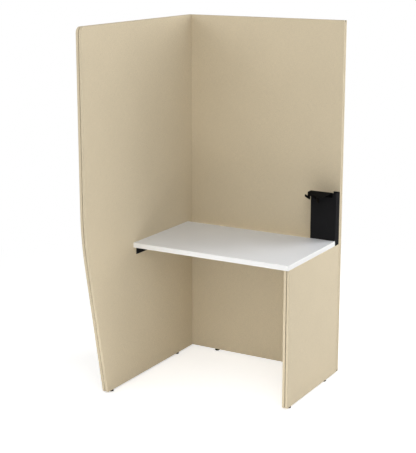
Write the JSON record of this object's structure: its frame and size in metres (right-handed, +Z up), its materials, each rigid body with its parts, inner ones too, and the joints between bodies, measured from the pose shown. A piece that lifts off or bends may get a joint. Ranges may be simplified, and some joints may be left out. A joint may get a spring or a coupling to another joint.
{
  "type": "booth desk",
  "caption": "Desk booth with a tall side screen, a tall back screen, a low end panel, a white worktop, a black cable post with a bag hook and levelling feet.",
  "frame": {"origin": "on the floor, under the middle of the booth's bounding box", "axes": "+Z up, the booth is open towards -Y where the user sits, and the low end panel is on the +X side"},
  "size_m": [0.89, 1, 1.81],
  "materials": {
    "cover_fabric": "plain-woven beige upholstery over a thin pad",
    "panel_board": "dark edged particle board",
    "white_laminate": "white melamine, fine matt grain",
    "white_edging": "white edge band, satin",
    "black_steel": "fine-textured black powder coat",
    "black_screw": "black zinc",
    "zinc_steel": "bright zinc plating",
    "brass_nut": "turned brass",
    "cap_plastic": "moulded, colour of the fabric",
    "black_plastic": "black moulded nylon"
  },
  "bodies": {
    "booth": {"side_core": "panel_board", "side_inner_cover": "cover_fabric", "side_outer_cover": "cover_fabric", "back_core": "panel_board", "back_inner_cover": "cover_fabric", "back_outer_cover": "cover_fabric", "end_core": "panel_board", "end_inner_cover": "cover_fabric", "end_outer_cover": "cover_fabric", "corner_bolts": "zinc_steel", "corner_nuts": "brass_nut", "bolt_caps": "cap_plastic", "worktop_board": "white_laminate", "worktop_edge_band": "white_edging", "side_rail": "black_steel", "side_rail_screws": "black_screw", "end_brackets": "black_steel", "end_bracket_screws": "black_screw", "cable_post": "black_steel", "cable_post_screws": "black_screw", "hook_bracket": "black_steel", "hook_rivets": "black_screw", "foot_nuts": "brass_nut", "corner_plugs": "black_plastic"},
    "side_front_foot": {"side_front_pad": "black_plastic", "side_front_stem": "zinc_steel"},
    "side_rear_foot": {"side_rear_pad": "black_plastic", "side_rear_stem": "zinc_steel"},
    "back_left_foot": {"back_left_pad": "black_plastic", "back_left_stem": "zinc_steel"},
    "back_right_foot": {"back_right_pad": "black_plastic", "back_right_stem": "zinc_steel"},
    "end_front_foot": {"end_front_pad": "black_plastic", "end_front_stem": "zinc_steel"},
    "end_rear_foot": {"end_rear_pad": "black_plastic", "end_rear_stem": "zinc_steel"}
  },
  "joints": [
    {"name": "side_front_foot_screw", "type": "slide", "parent": "booth", "child": "side_front_foot", "axis": [0, 0, -1], "range_m": [0, 0.012]},
    {"name": "side_rear_foot_screw", "type": "slide", "parent": "booth", "child": "side_rear_foot", "axis": [0, 0, -1], "range_m": [0, 0.012]},
    {"name": "back_left_foot_screw", "type": "slide", "parent": "booth", "child": "back_left_foot", "axis": [0, 0, -1], "range_m": [0, 0.012]},
    {"name": "back_right_foot_screw", "type": "slide", "parent": "booth", "child": "back_right_foot", "axis": [0, 0, -1], "range_m": [0, 0.012]},
    {"name": "end_front_foot_screw", "type": "slide", "parent": "booth", "child": "end_front_foot", "axis": [0, 0, -1], "range_m": [0, 0.012]},
    {"name": "end_rear_foot_screw", "type": "slide", "parent": "booth", "child": "end_rear_foot", "axis": [0, 0, -1], "range_m": [0, 0.012]}
  ]
}
